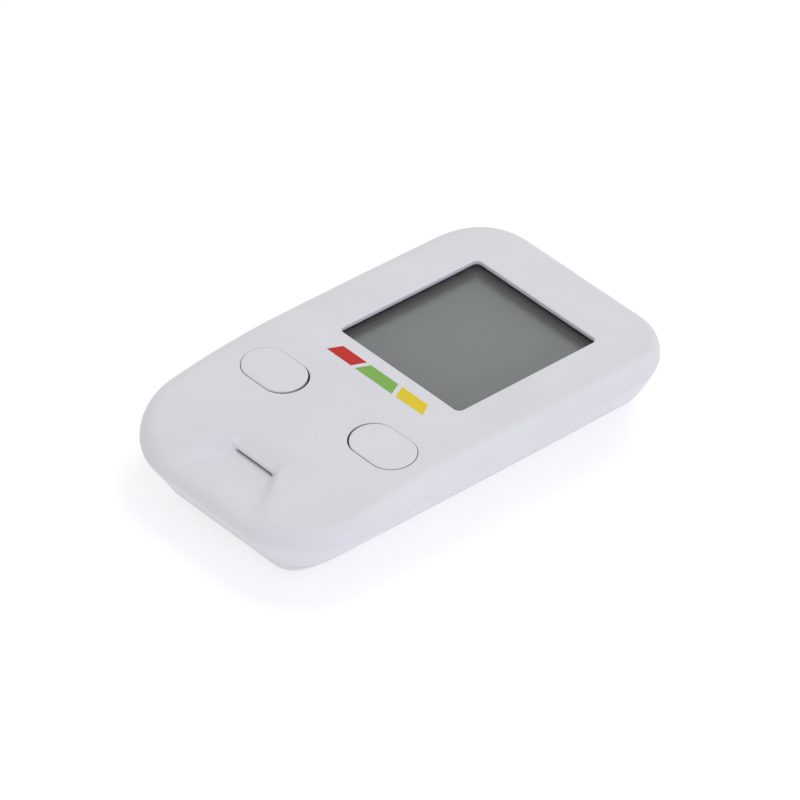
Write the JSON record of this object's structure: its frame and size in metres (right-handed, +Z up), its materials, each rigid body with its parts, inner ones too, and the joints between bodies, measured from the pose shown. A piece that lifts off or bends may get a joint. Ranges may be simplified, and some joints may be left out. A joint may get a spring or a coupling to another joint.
{
  "type": "blood glucose meter",
  "caption": "Pocket blood glucose meter with a large recessed screen, two flush push buttons, a strip slot in its nose and a sliding battery door underneath.",
  "frame": {"origin": "on the resting plane, under the middle of the body", "axes": "+Z up out of the screen, -Y towards the strip slot in the nose, +X to the right seen from above with the nose towards the viewer"},
  "size_m": [0.054, 0.0882, 0.017],
  "materials": {
    "white_shell": "fine satin moulded white",
    "button_cap": "fine satin moulded white",
    "clear_lens": "clear polished acrylic",
    "black_foam": "matte black foam tape",
    "lcd_glass": "blank liquid crystal glass, lightly tinted",
    "reflector_film": "grey-green diffusing film behind the screen",
    "white_inner": "plain moulded white",
    "zebra_rubber": "layered silicone",
    "red_ink": "printed red ink",
    "green_ink": "printed green ink",
    "yellow_ink": "printed yellow ink",
    "black_part": "moulded black epoxy",
    "gilt_contact": "gold plated spring strip",
    "circuit_board": "green solder mask",
    "bright_steel": "bright drawn can",
    "tan_ceramic": "fired ceramic",
    "brass_disc": "brass disc",
    "cell_steel": "brushed cell can",
    "spring_steel": "nickel plated strip",
    "screw_steel": "zinc plated"
  },
  "bodies": {
    "meter": {"top_housing": "white_shell", "bottom_housing": "white_shell", "display_window": "clear_lens", "window_gasket": "black_foam", "lcd_panel": "lcd_glass", "lcd_reflector": "reflector_film", "lcd_frame": "white_inner", "lcd_connector": "zebra_rubber", "red_bar": "red_ink", "green_bar": "green_ink", "yellow_bar": "yellow_ink", "left_switch": "black_part", "right_switch": "black_part", "strip_port": "white_inner", "port_contacts": "gilt_contact", "main_board": "circuit_board", "processor": "black_part", "memory_chip": "black_part", "crystal": "bright_steel", "capacitors": "tan_ceramic", "resistors": "black_part", "temperature_sensor": "black_part", "beeper": "brass_disc", "battery_front": "cell_steel", "battery_back": "cell_steel", "negative_contacts": "spring_steel", "positive_contacts": "spring_steel", "housing_screws": "screw_steel", "board_screws": "screw_steel"},
    "left_key": {"left_button": "button_cap", "left_plunger": "black_part"},
    "right_key": {"right_button": "button_cap", "right_plunger": "black_part"},
    "door": {"battery_door": "white_shell"}
  },
  "joints": [
    {"name": "left_press", "type": "slide", "parent": "meter", "child": "left_key", "axis": [0, 0, -1], "range_m": [0, 0.00035], "stiffness_N_per_m": 3000},
    {"name": "right_press", "type": "slide", "parent": "meter", "child": "right_key", "axis": [0, 0, -1], "range_m": [0, 0.00035], "stiffness_N_per_m": 3000},
    {"name": "door_slide", "type": "slide", "parent": "meter", "child": "door", "axis": [0, 1, 0], "range_m": [0, 0.05]}
  ]
}
